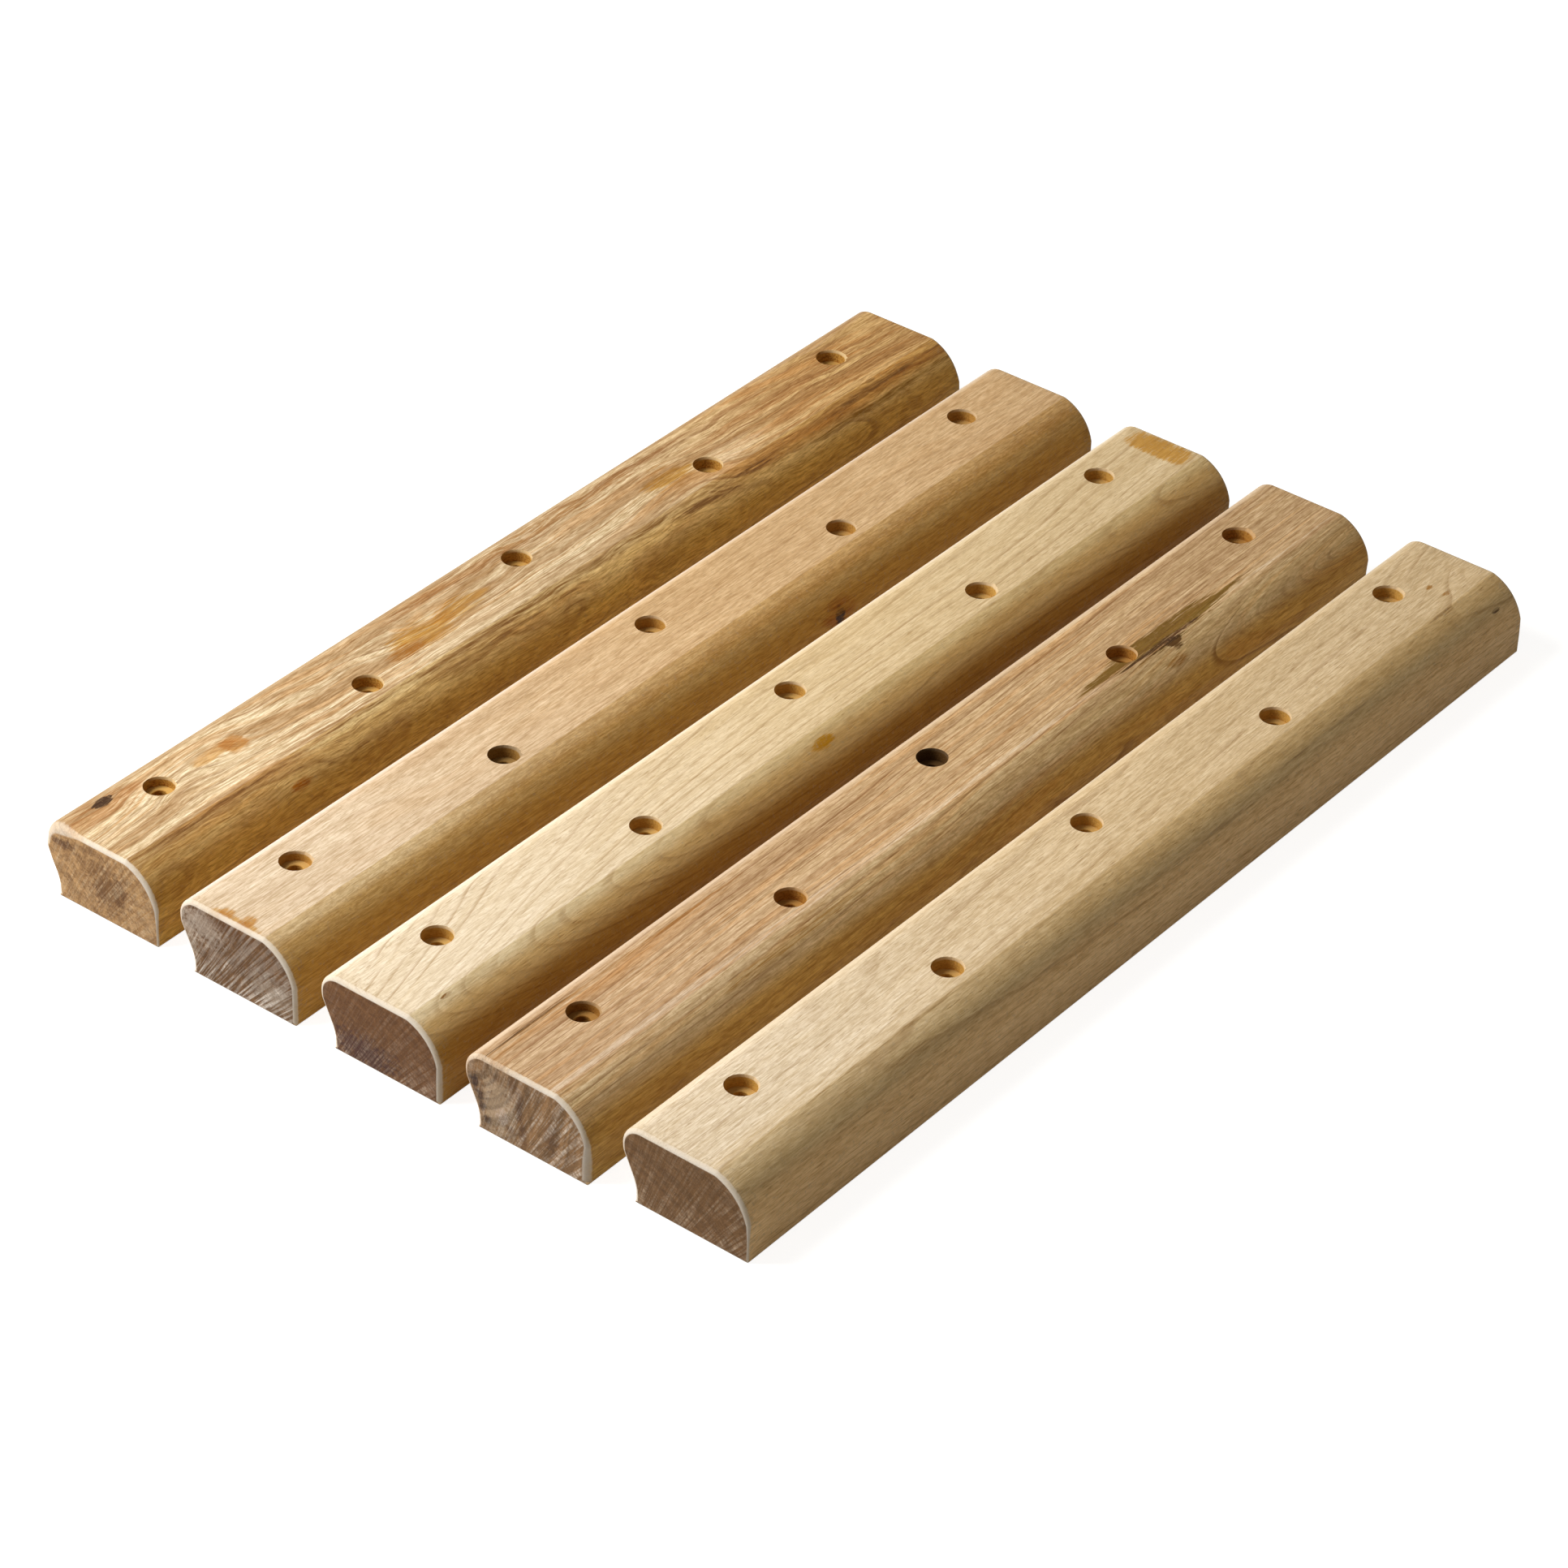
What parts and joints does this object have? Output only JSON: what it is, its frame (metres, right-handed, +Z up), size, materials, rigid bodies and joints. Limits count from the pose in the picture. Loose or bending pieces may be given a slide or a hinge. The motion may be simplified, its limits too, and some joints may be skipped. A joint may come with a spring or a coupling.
{
  "type": "campus rung set",
  "caption": "Wooden campus rungs for finger training, each a solid bar with an incut nose on one side, a round shoulder on the other and counterbored screw holes.",
  "frame": {"origin": "on the ground, under the middle of the set", "axes": "+Z up, out of the rungs' flat backs. +Y along the rungs. +X along the row, from the rungs' incut noses to their round shoulders"},
  "size_m": [0.3126, 0.4637, 0.03],
  "materials": {
    "rung_1_wood": "bare hardwood, sanded smooth, dark sawn end grain",
    "rung_2_wood": "bare hardwood, sanded smooth, dark sawn end grain",
    "rung_3_wood": "bare hardwood, sanded smooth, dark sawn end grain",
    "rung_4_wood": "bare hardwood, sanded smooth, dark sawn end grain",
    "rung_5_wood": "bare hardwood, sanded smooth, dark sawn end grain"
  },
  "bodies": {
    "root": {"rung_1": "rung_1_wood", "rung_2": "rung_2_wood", "rung_3": "rung_3_wood", "rung_4": "rung_4_wood", "rung_5": "rung_5_wood"}
  },
  "joints": []
}
